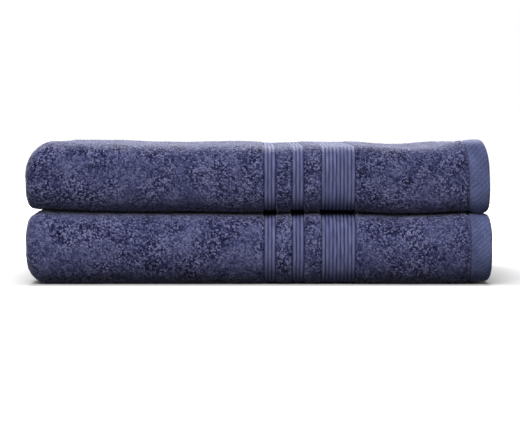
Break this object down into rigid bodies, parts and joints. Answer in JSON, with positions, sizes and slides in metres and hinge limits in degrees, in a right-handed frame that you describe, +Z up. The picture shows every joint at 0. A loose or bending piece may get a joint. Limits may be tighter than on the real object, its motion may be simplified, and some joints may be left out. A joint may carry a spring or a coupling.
{
  "type": "bath towel set",
  "caption": "Folded terry bath towels stacked one on the other, with woven bands and stitched hems; the upper one lifts off and its top half opens at the front fold.",
  "frame": {"origin": "on the surface the set lies on, under the middle of the stack", "axes": "+Z up; +X to the right along the front folds, towards the end hems; -Y to the front folds, +Y to the loose rear edges"},
  "size_m": [0.355, 0.3476, 0.1101],
  "materials": {
    "terry": "brushed cotton loop pile, matte, mottled blue",
    "hem": "flat woven cotton, ribbed bands and turned hems, soft sheen",
    "thread": "twisted sewing thread, slight sheen",
    "label": "blank satin ribbon"
  },
  "bodies": {
    "lower_towel": {"lower_towel_cloth": "terry", "lower_towel_outer_hem": "hem", "lower_towel_outer_seam": "thread", "lower_towel_inner_hem": "hem", "lower_towel_inner_seam": "thread", "lower_towel_base_side_hem": "hem", "lower_towel_base_side_seam": "thread", "lower_towel_flap_side_hem": "hem", "lower_towel_flap_side_seam": "thread", "lower_towel_care_label": "label"},
    "upper_towel_base": {"upper_towel_cloth_base": "terry", "upper_towel_outer_hem_base": "hem", "upper_towel_outer_seam_base": "thread", "upper_towel_inner_hem_base": "hem", "upper_towel_inner_seam_base": "thread", "upper_towel_cloth_fold": "terry", "upper_towel_outer_hem_fold": "hem", "upper_towel_outer_seam_fold": "thread", "upper_towel_inner_hem_fold": "hem", "upper_towel_inner_seam_fold": "thread", "upper_towel_base_side_hem": "hem", "upper_towel_base_side_seam": "thread"},
    "upper_towel_flap": {"upper_towel_cloth_flap": "terry", "upper_towel_outer_hem_flap": "hem", "upper_towel_outer_seam_flap": "thread", "upper_towel_inner_hem_flap": "hem", "upper_towel_inner_seam_flap": "thread", "upper_towel_flap_side_hem": "hem", "upper_towel_flap_side_seam": "thread", "upper_towel_care_label": "label"}
  },
  "joints": [
    {"name": "lift_off", "type": "slide", "parent": "lower_towel", "child": "upper_towel_base", "axis": [0, 0, 1], "range_m": [0, 0.1]},
    {"name": "unfold_flap", "type": "hinge", "parent": "upper_towel_base", "child": "upper_towel_flap", "pos_m": [0, -0.15051, 0.08265], "axis": [1, 0, 0], "range_deg": [0, 60], "deforming": ["upper_towel_cloth_fold", "upper_towel_outer_hem_fold", "upper_towel_outer_seam_fold", "upper_towel_inner_hem_fold", "upper_towel_inner_seam_fold"]}
  ]
}
